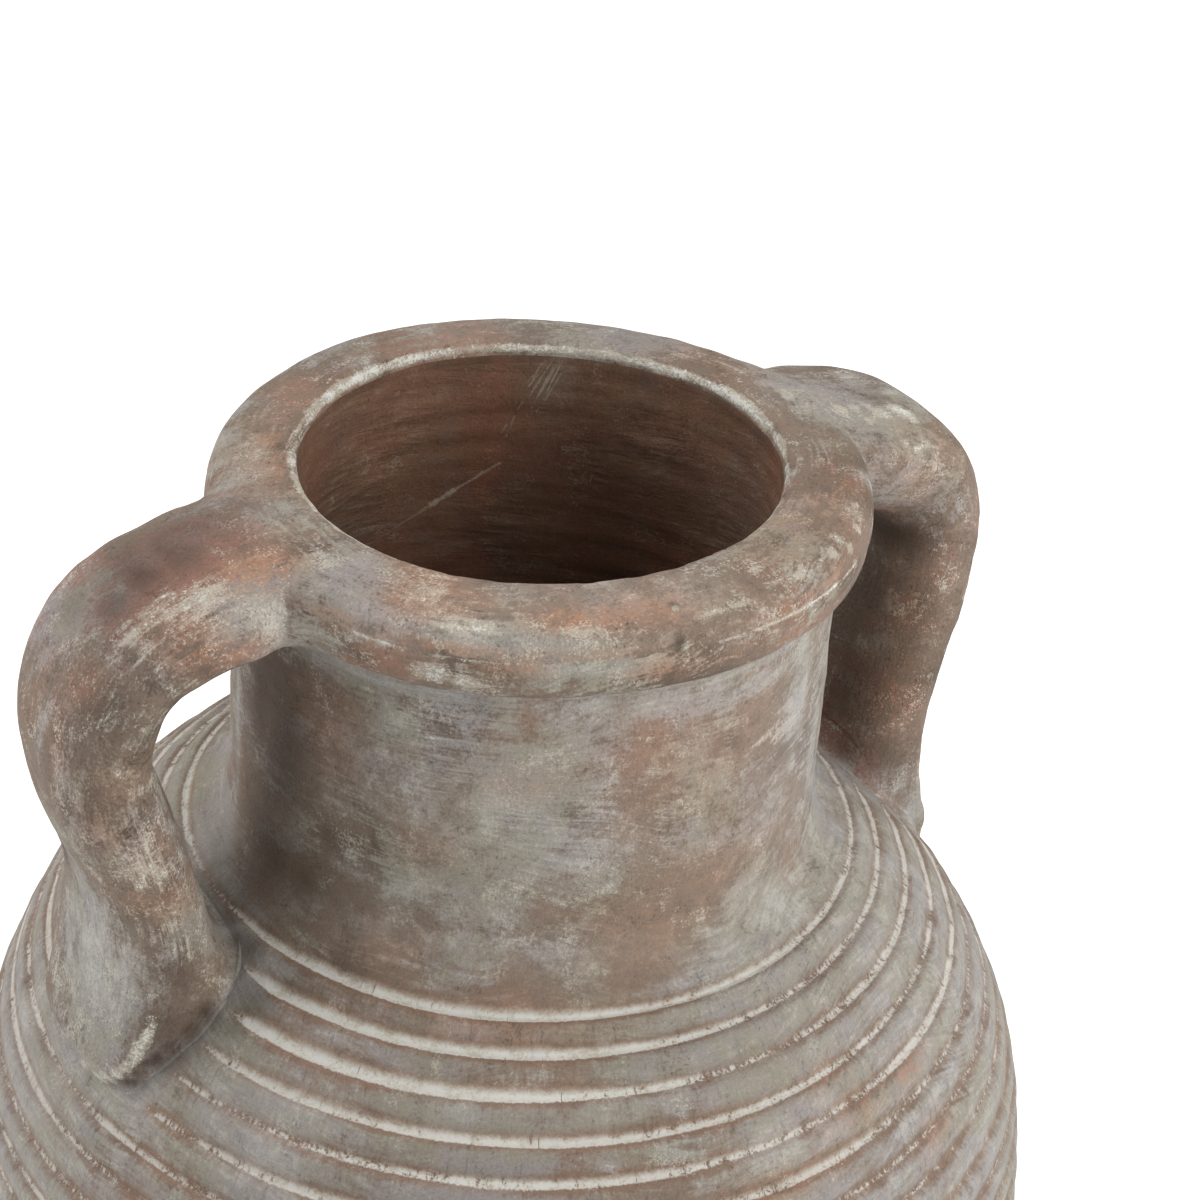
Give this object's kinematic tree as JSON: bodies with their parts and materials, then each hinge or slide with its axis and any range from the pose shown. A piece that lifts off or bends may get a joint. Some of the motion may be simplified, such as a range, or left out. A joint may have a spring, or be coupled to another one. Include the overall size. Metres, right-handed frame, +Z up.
{
  "type": "amphora pot",
  "caption": "Ribbed terracotta amphora pot with a rolled lip, straight neck and wide strap handles from rim to shoulder; stands on a flat base to hold stems or dry goods.",
  "frame": {"origin": "centre of the base, on the surface the pot stands on", "axes": "+Z up along the axis of the pot, +X and -X through the strap handles"},
  "size_m": [0.3106, 0.3106, 0.41],
  "materials": {
    "rim": "unglazed terracotta, rubbed with grey wash, cream residue on the worn inner edge",
    "neck": "unglazed terracotta under a brushed grey wash",
    "body": "unglazed terracotta with thrown ribs, cream residue in the grooves",
    "base": "bare fired clay, matt",
    "handle": "unglazed terracotta, mottled grey wash",
    "lute": "smeared clay slip, grey, matt"
  },
  "bodies": {
    "root": {"rim_ring": "rim", "neck_collar": "neck", "upper_body": "body", "lower_body": "body", "base_slab": "base", "left_handle": "handle", "right_handle": "handle", "left_foot_lute": "lute", "right_foot_lute": "lute"}
  },
  "joints": []
}
